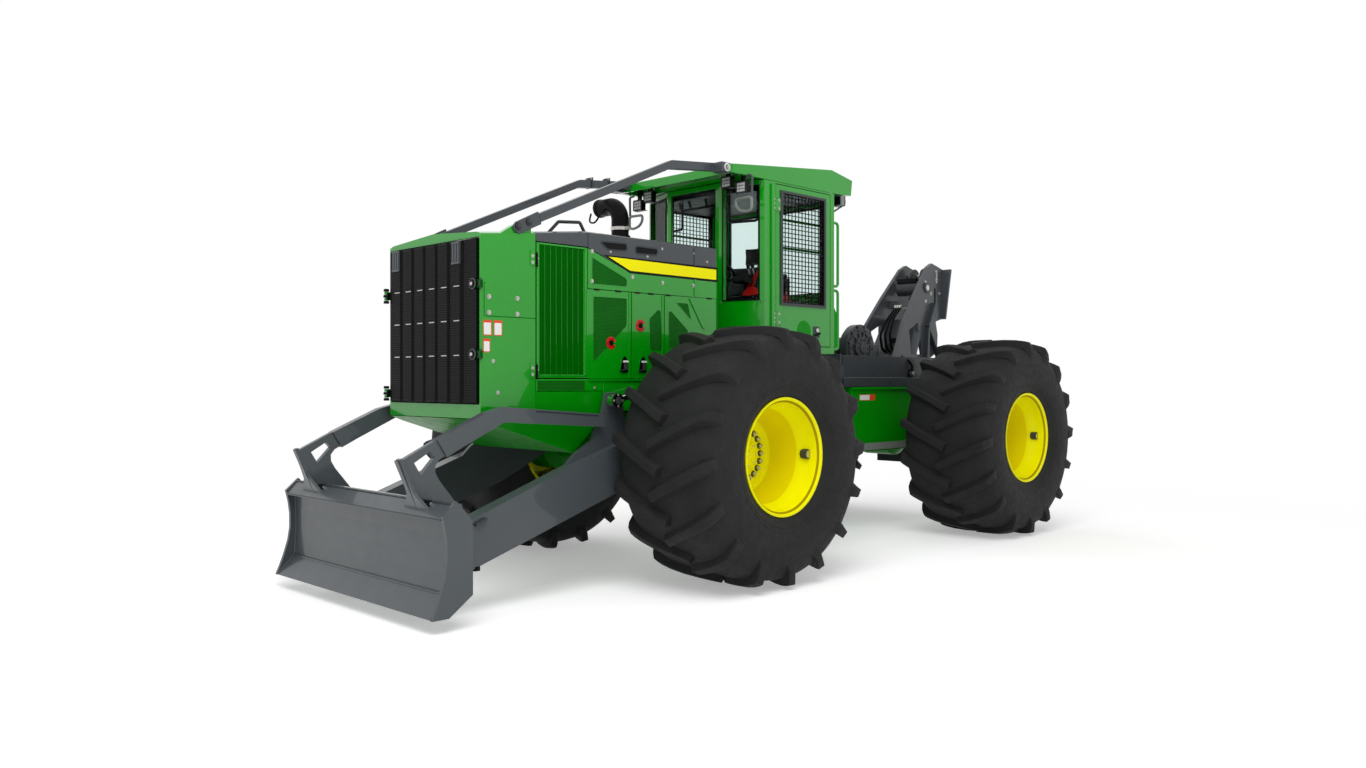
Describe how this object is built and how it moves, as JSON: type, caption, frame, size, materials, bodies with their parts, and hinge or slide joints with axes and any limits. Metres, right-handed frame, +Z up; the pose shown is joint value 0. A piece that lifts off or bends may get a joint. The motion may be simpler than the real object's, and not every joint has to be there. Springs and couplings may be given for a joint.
{
  "type": "skidder",
  "caption": "Wheeled log skidder: hinged front and rear frames, cab, blade on push arms, winch and rear arch.",
  "frame": {"origin": "on the ground, on the centre plane, below the middle of the overall length", "axes": "+Z up, the front faces -Y, +X is the machine's own left side"},
  "size_m": [3.424, 7.1798, 3.3749],
  "materials": {
    "green_paint": "gloss enamel",
    "grey_paint": "satin enamel",
    "black_paint": "satin enamel",
    "axle_paint": "enamel",
    "yellow_paint": "gloss enamel",
    "cast_iron": "as cast",
    "chrome": "polished",
    "glass": "clear",
    "seat_vinyl": "vinyl and cloth",
    "tyre": "moulded rubber"
  },
  "bodies": {
    "front": {"front_chassis": "black_paint", "lower_hull": "green_paint", "nose_frame": "green_paint", "hood_top": "grey_paint", "engine_covers": "green_paint", "side_skirts": "green_paint", "radiator": "black_paint", "engine_block": "cast_iron", "cab_base": "green_paint", "cab_frame": "green_paint", "cab_roof": "green_paint", "cab_glass": "glass", "seat_pad": "seat_vinyl", "seat_base": "black_paint", "controls": "black_paint", "handrails": "grey_paint", "work_lights": "black_paint", "limb_risers": "grey_paint", "exhaust_stack": "black_paint", "hood_handle": "grey_paint", "cab_steps": "grey_paint", "front_axle": "axle_paint", "steer_barrel_left": "black_paint", "steer_barrel_right": "black_paint"},
    "rear": {"rear_frame": "green_paint", "rear_deck": "grey_paint", "winch_housing": "grey_paint", "arch_tower": "grey_paint", "arch_flanges": "grey_paint", "butt_plate": "grey_paint", "rear_axle": "axle_paint"},
    "blade_frame": {"blade": "grey_paint", "push_arms": "grey_paint"},
    "grille": {"grille_door": "black_paint"},
    "louvre_left": {"louvre_door_left": "green_paint"},
    "louvre_right": {"louvre_door_right": "green_paint"},
    "door_left": {"cab_door_left": "green_paint", "door_window_left": "glass"},
    "door_right": {"cab_door_right": "green_paint", "door_window_right": "glass"},
    "drum": {"winch_drum": "black_paint"},
    "roller": {"fairlead_roller": "black_paint"},
    "lift_barrel_l": {"lift_barrel_left": "black_paint"},
    "lift_barrel_r": {"lift_barrel_right": "black_paint"},
    "lift_rod_l": {"lift_rod_left": "chrome"},
    "lift_rod_r": {"lift_rod_right": "chrome"},
    "steer_rod_l": {"steer_rod_left": "chrome"},
    "steer_rod_r": {"steer_rod_right": "chrome"},
    "wheel_front_left": {"tyre_front_left": "tyre", "rim_front_left": "yellow_paint"},
    "wheel_front_right": {"tyre_front_right": "tyre", "rim_front_right": "yellow_paint"},
    "wheel_rear_left": {"tyre_rear_left": "tyre", "rim_rear_left": "yellow_paint"},
    "wheel_rear_right": {"tyre_rear_right": "tyre", "rim_rear_right": "yellow_paint"}
  },
  "joints": [
    {"name": "articulation", "type": "hinge", "parent": "front", "child": "rear", "pos_m": [0, 0.89, 1.05], "axis": [0, 0, 1], "range_deg": [-45, 45]},
    {"name": "wheel_front_left_spin", "type": "hinge", "parent": "front", "child": "wheel_front_left", "pos_m": [1.249, -1.07, 0.945], "axis": [1, 0, 0], "continuous": true},
    {"name": "wheel_front_right_spin", "type": "hinge", "parent": "front", "child": "wheel_front_right", "pos_m": [-1.249, -1.07, 0.945], "axis": [1, 0, 0], "continuous": true},
    {"name": "wheel_rear_left_spin", "type": "hinge", "parent": "rear", "child": "wheel_rear_left", "pos_m": [1.249, 2.55, 0.945], "axis": [1, 0, 0], "continuous": true},
    {"name": "wheel_rear_right_spin", "type": "hinge", "parent": "rear", "child": "wheel_rear_right", "pos_m": [-1.249, 2.55, 0.945], "axis": [1, 0, 0], "continuous": true},
    {"name": "blade_lift", "type": "hinge", "parent": "front", "child": "blade_frame", "pos_m": [0, -1.44, 1], "axis": [1, 0, 0], "range_deg": [-24, 2]},
    {"name": "grille_swing", "type": "hinge", "parent": "front", "child": "grille", "pos_m": [-0.566, -2.94, 1.88], "axis": [0, 0, -1], "range_deg": [0, 100]},
    {"name": "louvre_left_swing", "type": "hinge", "parent": "front", "child": "louvre_left", "pos_m": [0.588, -2.455, 1.95], "axis": [0, 0, -1], "range_deg": [0, 90]},
    {"name": "louvre_right_swing", "type": "hinge", "parent": "front", "child": "louvre_right", "pos_m": [-0.588, -2.455, 1.95], "axis": [0, 0, 1], "range_deg": [0, 90]},
    {"name": "door_left_swing", "type": "hinge", "parent": "front", "child": "door_left", "pos_m": [0.706, -0.05, 2.45], "axis": [0, 0, -1], "range_deg": [0, 75]},
    {"name": "door_right_swing", "type": "hinge", "parent": "front", "child": "door_right", "pos_m": [-0.706, -0.05, 2.45], "axis": [0, 0, 1], "range_deg": [0, 75]},
    {"name": "winch_drum_spin", "type": "hinge", "parent": "rear", "child": "drum", "pos_m": [0, 1.69, 1.81], "axis": [1, 0, 0], "continuous": true},
    {"name": "fairlead_roller_spin", "type": "hinge", "parent": "rear", "child": "roller", "pos_m": [0, 3.081, 2.499], "axis": [1, 0, 0], "continuous": true},
    {"name": "lift_barrel_l_tilt", "type": "hinge", "parent": "front", "child": "lift_barrel_l", "pos_m": [0.715, -0.76, 1.565], "axis": [1, 0, 0], "range_deg": [-7, 1]},
    {"name": "lift_rod_l_slide", "type": "slide", "parent": "lift_barrel_l", "child": "lift_rod_l", "axis": [0, -0.9806, -0.1961], "range_m": [-0.2, 0.02]},
    {"name": "lift_barrel_r_tilt", "type": "hinge", "parent": "front", "child": "lift_barrel_r", "pos_m": [-0.715, -0.76, 1.565], "axis": [1, 0, 0], "range_deg": [-7, 1]},
    {"name": "lift_rod_r_slide", "type": "slide", "parent": "lift_barrel_r", "child": "lift_rod_r", "axis": [0, -0.9806, -0.1961], "range_m": [-0.2, 0.02]},
    {"name": "steer_rod_l_slide", "type": "slide", "parent": "front", "child": "steer_rod_l", "axis": [0, 1, 0], "range_m": [-0.29, 0.29]},
    {"name": "steer_rod_r_slide", "type": "slide", "parent": "front", "child": "steer_rod_r", "axis": [0, 1, 0], "range_m": [-0.29, 0.29]}
  ],
  "couplings": [
    {"joint": "lift_barrel_l_tilt", "follows": "blade_lift", "ratio": 0.267},
    {"joint": "lift_rod_l_slide", "follows": "blade_lift", "m_per_rad": 0.46},
    {"joint": "lift_barrel_r_tilt", "follows": "blade_lift", "ratio": 0.267},
    {"joint": "lift_rod_r_slide", "follows": "blade_lift", "m_per_rad": 0.46},
    {"joint": "steer_rod_l_slide", "follows": "articulation", "m_per_rad": 0.36},
    {"joint": "steer_rod_r_slide", "follows": "articulation", "m_per_rad": -0.36}
  ]
}
